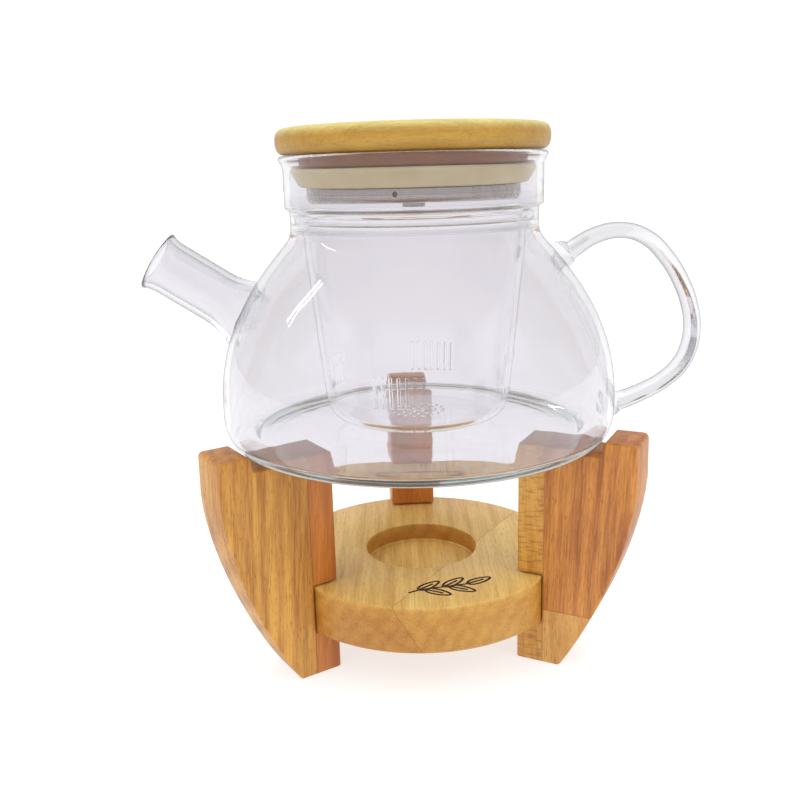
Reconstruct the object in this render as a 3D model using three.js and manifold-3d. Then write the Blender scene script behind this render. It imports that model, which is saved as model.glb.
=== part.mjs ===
// Glass teapot on a wooden warmer stand, in millimetres with +Z up.
// The spout points along -X and the handle along +X. The stand carries the pot on three planks round
// a disc with a recess for a tealight. A glass infuser hangs in the neck, and the lid closes it.
import * as THREE from 'three';
import { mergeVertices } from 'three/addons/utils/BufferGeometryUtils.js';
import Module from 'manifold-3d';

const wasm = await Module();
wasm.setup();

// Driving dimensions. Heights of the stand count from its feet, those of the glass and the lid from
// the underside of the pot.
const gap = 0.3; // between parts that touch
const stand = { discTop: 33.5, seat: 80.2, turn: 3 };
const disc = { r: 53, thickness: 17, flat: 51.2, recessR: 21, recessDepth: 7, edge: 1.2 };
const leg = { thickness: 18, inner: 42.3, riser: 71.2, outer: 83.4, top: 85.3, footOuter: 58, bevel: 1.2 };
const dowel = { r: 3, length: 15, chamfer: 0.6 };
const pot = { wall: 2.2, baseThickness: 3.4, bodyR: 71, footR: 65.5, footH: 10, neckR: 43.6, collarR: 45.2, rimFlare: 1.4 };
const bead = { r: 40.8, low: 74.5, high: 76.6, seatR: 42.2 }; // inside the neck, where the infuser hangs
const heights = { neck: 80.3, collar: 82, rim: 99.1, lidTop: 108.2 };
const spout = { mouthX: -91.9, mouthZ: 64.6, angle: 33, r: 9.7, bore: 7.8, length: 44, lip: 10.8 };
const handle = { width: 10.5, thickness: 5.6, weld: 7 };
const infuser = { rimR: 41.9, topR: 39.6, lowR: 33.8, wall: 1.8, floor: 5.6, corner: 10, rimH: 2.7 };
const slits = { groups: 4, each: 7, pitch: 4.7, first: -26, width: 1, low: 16, high: 27 };
const holes = { rings: 3, pitch: 3.1, r: 0.65 };
const lid = { r: 47.4, bossR: 39.6, coreR: 36.3, shoulder: 95, edge: 3.6 };
const seal = { inner: 36.6, low: 88.3, high: 94.7, r: 39.6, lip: 42.5 };
const cup = { r: 37.4, sheet: 0.7, low: 83.9, high: 88, ventR: 0.8, ventAngle: -100 };
const screw = { headR: 4, headH: 2.2, shankR: 1.9, length: 12, pilotR: 2.2 };

const segments = { disc: 48, pot: 40, envelope: 64, spout: 20, infuser: 36, lid: 40, pin: 12 };

const potZ = stand.seat + gap;
const discBottom = stand.discTop - disc.thickness;
const lidUnder = heights.rim + gap;
const collarBore = pot.collarR - pot.wall;

// ---- solids ----

function solidOf(geometry) {
  const bare = geometry.clone();
  bare.deleteAttribute('normal');
  bare.deleteAttribute('uv');
  const merged = mergeVertices(bare, 1e-4);
  return new wasm.Manifold(new wasm.Mesh({
    numProp: 3,
    vertProperties: new Float32Array(merged.attributes.position.array),
    triVerts: new Uint32Array(merged.index.array),
  }));
}

function geometryOf(solid) {
  const { vertProperties, triVerts } = solid.getMesh();
  const geometry = new THREE.BufferGeometry();
  geometry.setAttribute('position', new THREE.BufferAttribute(vertProperties, 3));
  geometry.setIndex(new THREE.BufferAttribute(triVerts, 1));
  geometry.computeVertexNormals();
  return geometry;
}

const cut = (geometry, ...tools) => geometryOf(
  tools.reduce((solid, tool) => solid.subtract(solidOf(tool)), solidOf(geometry)));

const join = (geometry, ...others) => geometryOf(
  others.reduce((solid, other) => solid.add(solidOf(other)), solidOf(geometry)));

// Turns a profile of [radius, height] points round the Z axis.
function lathe(points, count) {
  const profile = points.map(([r, z]) => new THREE.Vector2(r, z));
  if (THREE.ShapeUtils.area(profile) < 0) profile.reverse();
  return new THREE.LatheGeometry(profile, count).rotateX(Math.PI / 2);
}

// Points of a path of lines and curves, each curve in `steps` parts.
const pointsOf = (path, steps) => path.getPoints(steps).map((p) => [p.x, p.y]);

// A cylinder along the spoke at `angle` degrees, from radius `from` to radius `to` at height z.
function radialPin(radius, from, to, angle, z) {
  return new THREE.CylinderGeometry(radius, radius, to - from, segments.pin)
    .rotateZ(Math.PI / 2)
    .translate((from + to) / 2, 0, z)
    .rotateZ(THREE.MathUtils.degToRad(angle));
}

const looks = {
  oak: { color: 0xc98d48, roughness: 0.6, metalness: 0 },
  bamboo: { color: 0xd8b36a, roughness: 0.5, metalness: 0 },
  glass: { color: 0xe9e6ec, roughness: 0.04, metalness: 0, transparent: true, opacity: 0.35 },
  silicone: { color: 0xcdbfa6, roughness: 0.6, metalness: 0 },
  steel: { color: 0x9c948f, roughness: 0.3, metalness: 1 },
};

function mesh(name, geometry, look) {
  const part = new THREE.Mesh(geometry, new THREE.MeshStandardMaterial(looks[look]));
  part.name = name;
  return part;
}

// ---- stand ----

const legAngles = { leg_front_left: 210, leg_front_right: 330, leg_rear: 90 };
const spokeOf = (name) => legAngles[name] + stand.turn;

// The disc has a rounded edge, a recess in its top, a flat where each plank takes it and a dowel hole
// in each flat.
function baseDisc() {
  const { r, edge, recessR, recessDepth } = disc;
  const floor = stand.discTop - recessDepth;
  const round = lathe([
    [0, discBottom], [r - edge, discBottom], [r, discBottom + edge], [r, stand.discTop - edge],
    [r - edge, stand.discTop], [recessR + 0.6, stand.discTop], [recessR, stand.discTop - 0.6],
    [recessR, floor], [0, floor],
  ], segments.disc);
  const tools = Object.keys(legAngles).flatMap((name) => [
    new THREE.BoxGeometry(10, 60, 40).translate(disc.flat + 5, 0, stand.discTop)
      .rotateZ(THREE.MathUtils.degToRad(spokeOf(name))),
    dowelHole(name),
  ]);
  return cut(round, ...tools);
}

const dowelZ = discBottom + disc.thickness / 2;
const dowelHole = (name) => radialPin(
  dowel.r + gap, disc.flat - dowel.length / 2 - gap, disc.flat + dowel.length / 2 + gap, spokeOf(name), dowelZ);

// The side of a plank: a foot, an inner edge with a slot for the disc, a seat and riser for the pot at
// the top, and an outer edge that sweeps in to the foot.
function legShape() {
  const { inner, riser, outer, top, footOuter } = leg;
  const slotEnd = disc.flat + gap;
  const shape = new THREE.Shape();
  shape.moveTo(inner, 0);
  shape.lineTo(footOuter, 0);
  shape.bezierCurveTo(66, 12, outer - 1.4, 44, outer, 70);
  shape.lineTo(outer, top - 2);
  shape.quadraticCurveTo(outer, top, outer - 2, top);
  shape.lineTo(riser + 0.8, top);
  shape.lineTo(riser, stand.seat);
  shape.lineTo(inner, stand.seat);
  shape.lineTo(inner, stand.discTop + 2 * gap);
  shape.lineTo(slotEnd, stand.discTop + 2 * gap);
  shape.lineTo(slotEnd, discBottom - gap);
  shape.lineTo(inner, discBottom - gap);
  return shape;
}

function plank(name) {
  const { thickness, bevel } = leg;
  const board = new THREE.ExtrudeGeometry(legShape(), {
    depth: thickness - 2 * bevel, curveSegments: 12,
    bevelThickness: bevel, bevelSize: bevel, bevelOffset: -bevel, bevelSegments: 2,
  });
  board.translate(0, 0, bevel - thickness / 2);
  board.rotateX(Math.PI / 2).rotateZ(THREE.MathUtils.degToRad(spokeOf(name)));
  const slot = new THREE.BoxGeometry(disc.flat + gap, 30, disc.thickness + 3 * gap)
    .translate((disc.flat + gap) / 2, 0, dowelZ + gap / 2)
    .rotateZ(THREE.MathUtils.degToRad(spokeOf(name)));
  return cut(board, slot, dowelHole(name));
}

function dowelPin(name) {
  const { r, length, chamfer } = dowel;
  const pin = lathe([
    [0, 0], [r - chamfer, 0], [r, chamfer], [r, length - chamfer], [r - chamfer, length], [0, length],
  ], segments.pin);
  return pin.rotateY(Math.PI / 2).translate(disc.flat - length / 2, 0, dowelZ)
    .rotateZ(THREE.MathUtils.degToRad(spokeOf(name)));
}

function buildStand() {
  const group = new THREE.Group();
  group.add(mesh('base_disc', baseDisc(), 'oak'));
  for (const name of Object.keys(legAngles)) {
    group.add(mesh(name, plank(name), 'oak'));
    group.add(mesh(name.replace('leg', 'dowel'), dowelPin(name), 'oak'));
  }
  return group;
}

// ---- pot ----

// The wall from the foot up to the neck, moved inwards by `inset`, with its lowest point at `low`.
function wallPath(inset, low) {
  const path = new THREE.Path();
  const bodyR = pot.bodyR - inset;
  const rise = inset * 0.6;
  path.moveTo(pot.footR, low);
  path.bezierCurveTo(pot.footR + 3.2, low, bodyR, pot.footH / 2, bodyR, pot.footH + inset);
  path.lineTo(bodyR, 14);
  path.bezierCurveTo(bodyR, 42 - rise, 54 - inset, 60 - rise, 45.8 - inset, 69.3 - rise);
  path.quadraticCurveTo(pot.neckR - inset, 71.8 - rise, pot.neckR - inset, 75 - rise);
  return path;
}

// The outside of the pot, filled in to the axis and made `grow` larger, which trims what is welded on.
function potEnvelope(grow) {
  return lathe([[0, -grow], ...pointsOf(wallPath(-grow, -grow), 8), [0, heights.collar]], segments.envelope);
}

function glassBody() {
  const { wall, baseThickness, collarR, neckR, footR, rimFlare } = pot;
  const { neck, collar, rim } = heights;
  const rimR = collarR + rimFlare;
  const outside = wallPath(0, 0);
  outside.lineTo(neckR, neck);
  outside.bezierCurveTo(neckR, neck + 1, collarR, collar - 1, collarR, collar);
  outside.lineTo(collarR, rim - 4.5);
  outside.quadraticCurveTo(collarR, rim - 2.5, rimR, rim - wall / 2);
  outside.absarc(rimR - wall / 2, rim - wall / 2, wall / 2, 0, Math.PI);
  outside.quadraticCurveTo(collarBore, rim - 3, collarBore, rim - 5);
  const inside = pointsOf(wallPath(wall, baseThickness), 4).reverse();
  const body = lathe([
    [0, 1.2], [footR - 8, 1.2], [footR - 5, 0], ...pointsOf(outside, 4),
    [collarBore, collar], [bead.seatR, neck], [bead.seatR, bead.high], [bead.r + 0.5, bead.high],
    [bead.r, bead.high - 0.5], [bead.r, bead.low], ...inside, [0, baseThickness],
  ], segments.pot);
  return cut(body, alongSpout(new THREE.CylinderGeometry(spout.bore + 3, spout.bore + 3, 30, 24)
    .rotateX(Math.PI / 2).translate(0, 0, -spout.length)));
}

// Lays a shape made round the Z axis along the spout, with z = 0 at the mouth and +Z pointing out.
function alongSpout(geometry) {
  return geometry
    .rotateY(THREE.MathUtils.degToRad(spout.angle - 90))
    .translate(spout.mouthX, 0, spout.mouthZ);
}

// A straight tube with a flared lip, which widens where it meets the body.
function spoutTube() {
  const { r, bore, length, lip } = spout;
  const rootFrom = -25;
  const outside = new THREE.Path();
  outside.moveTo(r + 7, -length);
  outside.bezierCurveTo(r + 3.5, -length + 6, r, rootFrom - 5, r, rootFrom);
  outside.lineTo(r, -5);
  outside.quadraticCurveTo(r, -2, lip, -0.4);
  outside.quadraticCurveTo(lip + 0.1, 0, lip - 0.5, 0);
  const inside = new THREE.Path();
  inside.moveTo(lip - 1.6, 0);
  inside.quadraticCurveTo(bore, -2.2, bore, -5.5);
  inside.lineTo(bore, rootFrom);
  inside.bezierCurveTo(bore, rootFrom - 5, bore + 2, -length + 6, bore + 4, -length);
  const profile = [...pointsOf(outside, 4), ...pointsOf(inside, 4)];
  const tube = alongSpout(lathe([...profile, profile[0]], segments.spout));
  return cut(tube, potEnvelope(gap));
}

// A flattened rod from the shoulder out over the grip and back in to the foot, with a thicker weld at
// each end.
function handleLoop() {
  const route = new THREE.CatmullRomCurve3([
    [47, 59.5], [55.5, 64.4], [64, 69.3], [73.5, 71], [82.5, 68.2], [90, 61], [95.5, 52.5], [99, 44],
    [100.4, 36.5], [99.8, 29], [96.5, 21.5], [91, 16.2], [84, 12.2], [76, 9], [67, 7],
  ].map(([x, z]) => new THREE.Vector3(x, 0, z)));
  const section = new THREE.Shape();
  section.absellipse(0, 0, handle.width / 2, handle.thickness / 2, 0, 2 * Math.PI);
  const rod = new THREE.ExtrudeGeometry(section, { steps: 26, curveSegments: 6, extrudePath: route });
  const blob = (x, z) => new THREE.SphereGeometry(handle.weld, 12, 6)
    .scale(0.75, 1, 0.75).translate(x, 0, z);
  return cut(join(rod, blob(52, 62.5), blob(70.5, 7.8)), potEnvelope(gap));
}

// ---- infuser ----

// Upright slits in four groups round the lower wall.
function slitTools() {
  const { groups, each, pitch, first, width, low, high } = slits;
  const tools = [];
  for (let group = 0; group < groups; group += 1) {
    for (let index = 0; index < each; index += 1) {
      const angle = -90 + first + (360 / groups) * group + pitch * index;
      tools.push(new THREE.BoxGeometry(8, width, high - low)
        .translate(infuser.lowR, 0, (low + high) / 2)
        .rotateZ(THREE.MathUtils.degToRad(angle)));
    }
  }
  return tools;
}

// Round holes in the floor, in rings of six, twelve and eighteen round a middle one.
function holeTools() {
  const tools = [];
  for (let ring = 0; ring <= holes.rings; ring += 1) {
    const count = Math.max(1, 6 * ring);
    for (let index = 0; index < count; index += 1) {
      const angle = (2 * Math.PI * index) / count;
      tools.push(new THREE.CylinderGeometry(holes.r, holes.r, 8, 6)
        .rotateX(Math.PI / 2)
        .translate(ring * holes.pitch * Math.cos(angle), ring * holes.pitch * Math.sin(angle), infuser.floor));
    }
  }
  return tools;
}

// The tapered wall down to the floor, moved inwards by `inset`.
function infuserPath(inset) {
  const { topR, lowR, corner, floor } = infuser;
  const path = new THREE.Path();
  const low = floor + inset;
  path.moveTo(0, low);
  path.lineTo(lowR - corner, low);
  path.bezierCurveTo(lowR - 3.5, low, lowR - inset - 0.9, low + 3.5, lowR - inset, floor + corner);
  path.lineTo(topR - inset, bead.high - 1.5);
  return path;
}

function infuserCup() {
  const { rimR, topR, wall, rimH } = infuser;
  const rimLow = bead.high + gap;
  const rimHigh = rimLow + rimH;
  const inside = pointsOf(infuserPath(wall), 4).reverse();
  const glass = lathe([
    ...pointsOf(infuserPath(0), 4), [topR + 0.4, rimLow], [rimR - 0.4, rimLow], [rimR, rimLow + 0.5],
    [rimR, rimHigh - 0.5], [rimR - 0.5, rimHigh], [topR, rimHigh], [topR - wall + 0.2, rimHigh - 1], ...inside,
  ], segments.infuser);
  return cut(glass, ...slitTools(), ...holeTools());
}

// ---- lid ----

function lidTop() {
  const { r, bossR, coreR, shoulder, edge } = lid;
  const { lidTop: high } = heights;
  const middle = (lidUnder + high) / 2;
  const side = new THREE.Path();
  side.moveTo(r - edge, lidUnder);
  side.bezierCurveTo(r - 1, lidUnder, r, lidUnder + 1.5, r, middle);
  side.bezierCurveTo(r, high - 1.5, r - 1, high, r - edge, high);
  const coreLow = cup.low + cup.sheet + gap;
  const wood = lathe([
    [0, coreLow], [coreR - 0.6, coreLow], [coreR, coreLow + 0.6], [coreR, shoulder],
    [bossR - 0.6, shoulder], [bossR, shoulder + 0.6], [bossR, lidUnder], ...pointsOf(side, 4), [0, high],
  ], segments.lid);
  const pilot = new THREE.CylinderGeometry(screw.pilotR, screw.pilotR, screw.length, 16)
    .rotateX(Math.PI / 2).translate(0, 0, coreLow + screw.length / 2 - 1);
  return cut(wood, pilot);
}

// A soft ring under the lid, which widens upwards from the steel cup to a lip against the collar.
function sealRing() {
  const { inner, low, high, r, lip } = seal;
  return lathe([
    [inner, low], [r, low], [r + 0.6, low + 0.7], [lip - 0.3, high - 1.8], [lip, high - 1.2],
    [lip, high - 0.4], [lip - 0.5, high], [r - 0.8, high - 0.4], [inner, high - 0.4], [inner, low],
  ], segments.lid);
}

// A shallow spun cup with a rolled corner, a hole for the screw and a vent hole in its side.
function steelCup() {
  const { r, sheet, low, high, ventR, ventAngle } = cup;
  const wall = new THREE.Path();
  wall.moveTo(r - 2.4, low);
  wall.quadraticCurveTo(r, low, r, low + 2);
  wall.lineTo(r, high);
  wall.lineTo(r - sheet, high);
  wall.lineTo(r - sheet, low + 2);
  wall.quadraticCurveTo(r - sheet, low + sheet, r - 2.4, low + sheet);
  const hub = screw.shankR + gap;
  const steel = lathe([[hub, low], ...pointsOf(wall, 3), [hub, low + sheet], [hub, low]], segments.lid);
  return cut(steel, radialPin(ventR, r - 3, r + 3, ventAngle, (low + high) / 2 + 0.4));
}

function lidScrew() {
  const { headR, headH, shankR, length } = screw;
  const under = cup.low - gap;
  const body = lathe([
    [0, under - headH], [headR - 1.2, under - headH], [headR, under - 0.8], [headR, under],
    [shankR, under], [shankR, under + length - 3], [0.4, under + length - 1.4], [0, under + length - 1.4],
  ], segments.spout);
  const slot = new THREE.BoxGeometry(0.9, 12, 1.4).translate(0, 0, under - headH);
  return cut(body, slot, slot.clone().rotateZ(Math.PI / 2));
}

// ---- assembly ----

function buildPot() {
  const group = new THREE.Group();
  group.position.z = potZ;
  group.add(mesh('glass_body', glassBody(), 'glass'));
  group.add(mesh('spout', spoutTube(), 'glass'));
  group.add(mesh('handle', handleLoop(), 'glass'));
  group.add(mesh('infuser', infuserCup(), 'glass'));
  group.add(mesh('lid_top', lidTop(), 'bamboo'));
  group.add(mesh('seal_ring', sealRing(), 'silicone'));
  group.add(mesh('steel_cup', steelCup(), 'steel'));
  group.add(mesh('lid_screw', lidScrew(), 'steel'));
  return group;
}

const teapot = new THREE.Group();
teapot.add(buildStand(), buildPot());

// The origin is below the middle of the object's box, on the surface that it stands on.
const box = new THREE.Box3().setFromObject(teapot, true);
const middle = box.getCenter(new THREE.Vector3());
teapot.position.set(-middle.x, -middle.y, -box.min.z);

export default teapot;
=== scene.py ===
# Glass teapot with a glass infuser, a wooden lid and a wooden warmer stand.
import bpy
import math
from mathutils import Matrix, Vector


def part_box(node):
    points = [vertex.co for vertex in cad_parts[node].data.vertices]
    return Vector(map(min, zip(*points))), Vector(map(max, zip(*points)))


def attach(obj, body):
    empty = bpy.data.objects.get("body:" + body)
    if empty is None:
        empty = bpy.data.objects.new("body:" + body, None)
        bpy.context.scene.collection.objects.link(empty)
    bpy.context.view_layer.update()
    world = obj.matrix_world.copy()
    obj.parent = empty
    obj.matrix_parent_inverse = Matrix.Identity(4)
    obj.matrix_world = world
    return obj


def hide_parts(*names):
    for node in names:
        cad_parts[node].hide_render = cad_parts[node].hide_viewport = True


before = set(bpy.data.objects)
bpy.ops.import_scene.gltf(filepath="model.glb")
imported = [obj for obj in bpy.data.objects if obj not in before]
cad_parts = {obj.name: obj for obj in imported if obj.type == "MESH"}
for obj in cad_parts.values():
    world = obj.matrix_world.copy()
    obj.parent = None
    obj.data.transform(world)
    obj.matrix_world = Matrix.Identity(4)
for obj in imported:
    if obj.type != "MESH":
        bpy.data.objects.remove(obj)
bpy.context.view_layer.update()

mm = 0.001
lidLow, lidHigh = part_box("lid_top")
discLow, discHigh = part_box("base_disc")
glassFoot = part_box("glass_body")[0].z  # heights of the pot and the lid count from here
axisX = (lidLow.x + lidHigh.x) / 2  # the lid is round, so its middle is the pot's axis
axisY = (lidLow.y + lidHigh.y) / 2
discTop = discHigh.z / mm
discBottom = discLow.z / mm
spokes = {"leg_front_left": 213, "leg_front_right": 333, "leg_rear": 93}


# ---- small helpers ----

def deselectAll():
    if bpy.context.mode != "OBJECT":
        bpy.ops.object.mode_set(mode="OBJECT")
    bpy.ops.object.select_all(action="DESELECT")


def makeActive(piece):
    deselectAll()
    piece.select_set(True)
    bpy.context.view_layer.objects.active = piece


# The direction straight out from the pot's axis at an angle in degrees.
def outwards(turn):
    a = math.radians(turn)
    return Vector((math.cos(a), math.sin(a), 0))


# A point of the pot or the lid, from the pot's axis and foot, in millimetres.
def potPoint(radius, turn, height):
    return Vector((axisX, axisY, glassFoot)) + outwards(turn) * radius * mm + Vector((0, 0, height * mm))


# Freezes a piece where it is, so that its object sits at the origin.
def settle(piece, name):
    makeActive(piece)
    bpy.ops.object.transform_apply(location=True, rotation=True, scale=True)
    piece.name = name
    piece.data.name = name
    return piece


def closeUp(piece):
    makeActive(piece)
    bpy.ops.object.mode_set(mode="EDIT")
    bpy.ops.mesh.select_all(action="SELECT")
    bpy.ops.mesh.remove_doubles(threshold=1e-6)
    bpy.ops.mesh.normals_make_consistent(inside=False)
    bpy.ops.object.mode_set(mode="OBJECT")


def smooth(piece, angle=35):
    makeActive(piece)
    bpy.ops.object.shade_smooth_by_angle(angle=math.radians(angle))


def applyModifier(piece, modifier):
    makeActive(piece)
    bpy.ops.object.modifier_apply(modifier=modifier.name)


def bevelEdges(piece, width, segments=3, angle=35):
    bevel = piece.modifiers.new("bevel", "BEVEL")
    bevel.width = width * mm
    bevel.segments = segments
    bevel.limit_method = "ANGLE"
    bevel.angle_limit = math.radians(angle)
    applyModifier(piece, bevel)


# Cuts, joins or keeps what two pieces share, and removes the tool.
def combine(piece, tool, operation, selfMeeting=False):
    boolean = piece.modifiers.new("boolean", "BOOLEAN")
    boolean.operation = operation
    boolean.solver = "EXACT"
    boolean.use_self = selfMeeting
    boolean.object = tool
    applyModifier(piece, boolean)
    bpy.data.objects.remove(tool)
    return piece


def curvePoints(start, pullA, pullB, end, steps):
    points = []
    for step in range(1, steps + 1):
        t = step / steps
        u = 1 - t
        points.append(tuple(
            u ** 3 * a + 3 * u * u * t * b + 3 * u * t * t * c + t ** 3 * d
            for a, b, c, d in zip(start, pullA, pullB, end)))
    return points


# Turns a round piece as on a lathe: a filled disc is extruded ring by ring, each ring scaled and lifted.
# A hollow ring starts from a bare circle and ends where it began.
def turnRings(name, rings, sides, foot=0.0, hollow=False, centre=(axisX, axisY)):
    deselectAll()
    radius, height = rings[0]
    bpy.ops.mesh.primitive_circle_add(
        vertices=sides, radius=radius * mm, fill_type="NOTHING" if hollow else "TRIFAN",
        location=(centre[0], centre[1], foot + height * mm))
    piece = bpy.context.object
    bpy.ops.object.mode_set(mode="EDIT")
    bpy.ops.mesh.select_all(action="SELECT")
    for nextRadius, nextHeight in rings[1:]:
        lift = {"value": (0, 0, (nextHeight - height) * mm)}
        if hollow:
            bpy.ops.mesh.extrude_edges_move(TRANSFORM_OT_translate=lift)
        else:
            bpy.ops.mesh.extrude_region_move(TRANSFORM_OT_translate=lift)
        grow = nextRadius / radius
        bpy.ops.transform.resize(value=(grow, grow, 1), center_override=(centre[0], centre[1], 0))
        radius, height = nextRadius, nextHeight
    bpy.ops.object.mode_set(mode="OBJECT")
    settle(piece, name)
    closeUp(piece)
    return piece


# ---- shader groups ----

def addNode(tree, kind, at, **values):
    node = tree.nodes.new(kind)
    node.location = at
    for key, value in values.items():
        setattr(node, key, value)
    return node


def mathNode(tree, operation, at, first, second=None, clamp=False):
    node = addNode(tree, "ShaderNodeMath", at, operation=operation, use_clamp=clamp)
    for index, value in enumerate([first, second]):
        if value is None:
            continue
        if isinstance(value, (int, float)):
            node.inputs[index].default_value = value
        else:
            tree.links.new(value, node.inputs[index])
    return node.outputs[0]


def mixColours(tree, at, factor, first, second, blend="MIX"):
    node = addNode(tree, "ShaderNodeMix", at, data_type="RGBA", blend_type=blend)
    for index, value in ((0, factor), (6, first), (7, second)):
        if isinstance(value, (int, float, tuple)):
            node.inputs[index].default_value = value
        else:
            tree.links.new(value, node.inputs[index])
    return node.outputs[2]


def rangeNode(tree, at, value, low, high, toLow=0.0, toHigh=1.0):
    node = addNode(tree, "ShaderNodeMapRange", at)
    tree.links.new(value, node.inputs["Value"])
    node.inputs["From Min"].default_value = low
    node.inputs["From Max"].default_value = high
    node.inputs["To Min"].default_value = toLow
    node.inputs["To Max"].default_value = toHigh
    return node.outputs[0]


def stretched(tree, vector, scale, at):
    node = addNode(tree, "ShaderNodeMapping", at)
    node.inputs["Scale"].default_value = scale
    tree.links.new(vector, node.inputs["Vector"])
    return node.outputs[0]


def noiseNode(tree, vector, scale, detail, at, roughness=0.5):
    node = addNode(tree, "ShaderNodeTexNoise", at)
    node.inputs["Scale"].default_value = scale
    node.inputs["Detail"].default_value = detail
    node.inputs["Roughness"].default_value = roughness
    tree.links.new(vector, node.inputs["Vector"])
    return node.outputs["Fac"]


def newGroup(name, inputs, outputs):
    group = bpy.data.node_groups.new(name, "ShaderNodeTree")
    for title, kind, value in inputs:
        socket = group.interface.new_socket(title, in_out="INPUT", socket_type=kind)
        if value is not None:
            socket.default_value = value
    for title, kind in outputs:
        group.interface.new_socket(title, in_out="OUTPUT", socket_type=kind)
    start = addNode(group, "NodeGroupInput", (-1200, 0))
    end = addNode(group, "NodeGroupOutput", (900, 0))
    return group, start, end


# Solid wood whose fibres run along Z: growth rings, fibres, open pores and ray flecks.
def makeWoodGrain():
    tree, start, end = newGroup(
        "woodGrain",
        [("Vector", "NodeSocketVector", None),
         ("Light", "NodeSocketColor", (0.6, 0.3, 0.1, 1)),
         ("Dark", "NodeSocketColor", (0.4, 0.18, 0.05, 1)),
         ("Pore", "NodeSocketColor", (0.2, 0.08, 0.02, 1)),
         ("Rings", "NodeSocketFloat", 0.5),
         ("Pores", "NodeSocketFloat", 0.5),
         ("Rays", "NodeSocketFloat", 0.0)],
        [("Color", "NodeSocketColor"), ("Roughness", "NodeSocketFloat"), ("Height", "NodeSocketFloat")])
    vector = start.outputs["Vector"]

    # Noise drawn out along or across the fibres.
    def drawnOut(squeeze, scale, detail, y, roughness=0.5):
        drawn = stretched(tree, vector, squeeze, (-1000, y))
        return noiseNode(tree, drawn, scale, detail, (-800, y), roughness)

    drift = drawnOut((1, 1, 0.3), 32, 2, 300)
    wave = addNode(tree, "ShaderNodeTexWave", (-800, 80), bands_direction="X", wave_profile="SIN")
    wave.inputs["Scale"].default_value = 62
    wave.inputs["Distortion"].default_value = 5.5
    wave.inputs["Detail"].default_value = 3
    wave.inputs["Detail Scale"].default_value = 0.9
    tree.links.new(stretched(tree, vector, (1, 0.45, 0.07), (-1000, 80)), wave.inputs["Vector"])
    fibre = drawnOut((1, 1, 0.04), 1500, 4, -140, 0.65)
    streak = drawnOut((1, 1, 0.05), 260, 3, -340, 0.55)
    poreNoise = drawnOut((1, 1, 0.13), 2600, 2, -540)
    pore = rangeNode(tree, (-600, -540), poreNoise, 0.56, 0.7)
    poreAmount = mathNode(tree, "MULTIPLY", (-400, -540), pore, start.outputs["Pores"])
    rayNoise = drawnOut((0.16, 0.16, 1), 1300, 1.5, -740)
    ray = mathNode(tree, "MULTIPLY", (-400, -740), rangeNode(tree, (-600, -740), rayNoise, 0.5, 0.66),
                   start.outputs["Rays"])
    ringPart = mathNode(tree, "MULTIPLY", (-600, 80), wave.outputs["Fac"], start.outputs["Rings"])
    fibrePart = rangeNode(tree, (-600, -140), fibre, 0.3, 0.72, -0.28, 0.46)
    streakPart = rangeNode(tree, (-600, -340), streak, 0.3, 0.7, -0.2, 0.5)
    driftPart = rangeNode(tree, (-600, 300), drift, 0.3, 0.7, -0.06, 0.3)
    tone = mathNode(tree, "ADD", (-400, 80), ringPart, fibrePart)
    tone = mathNode(tree, "ADD", (-300, 160), tone, streakPart)
    tone = mathNode(tree, "ADD", (-200, 240), tone, driftPart, clamp=True)
    colour = mixColours(tree, (0, 200), tone, start.outputs["Light"], start.outputs["Dark"])
    colour = mixColours(tree, (200, 200), ray, colour, start.outputs["Pore"])
    colour = mixColours(tree, (400, 200), poreAmount, colour, start.outputs["Pore"])
    tree.links.new(colour, end.inputs["Color"])
    rough = mathNode(tree, "MULTIPLY_ADD", (200, -100), fibre, 0.16)
    rough.node.inputs[2].default_value = 0.4
    poreRough = mathNode(tree, "MULTIPLY", (200, -260), poreAmount, 0.2)
    rough = mathNode(tree, "ADD", (400, -100), rough, poreRough)
    tree.links.new(rough, end.inputs["Roughness"])
    fibreHeight = mathNode(tree, "MULTIPLY", (200, -400), fibre, 0.5)
    height = mathNode(tree, "SUBTRACT", (400, -400), fibreHeight, poreAmount)
    tree.links.new(height, end.inputs["Height"])
    return tree


# A mask of the rounded edges, where handling has rubbed the finish.
def makeEdgeWear():
    group, start, end = newGroup(
        "edgeWear",
        [("Reach", "NodeSocketFloat", 0.0012), ("Vector", "NodeSocketVector", None)],
        [("Wear", "NodeSocketFloat")])
    bevel = addNode(group, "ShaderNodeBevel", (-900, 0), samples=4)
    bevel.inputs["Radius"].default_value = 0.0012
    group.links.new(start.outputs["Reach"], bevel.inputs["Radius"])
    geometry = addNode(group, "ShaderNodeNewGeometry", (-900, -200))
    dot = addNode(group, "ShaderNodeVectorMath", (-700, 0), operation="DOT_PRODUCT")
    group.links.new(bevel.outputs[0], dot.inputs[0])
    group.links.new(geometry.outputs["Normal"], dot.inputs[1])
    edge = rangeNode(group, (-500, 0), dot.outputs["Value"], 0.985, 0.8)
    patchy = noiseNode(group, start.outputs["Vector"], 240, 3, (-700, -300))
    patch = rangeNode(group, (-500, -300), patchy, 0.35, 0.65)
    wear = mathNode(group, "MULTIPLY", (-300, 0), edge, patch, clamp=True)
    group.links.new(wear, end.inputs["Wear"])
    return group


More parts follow.
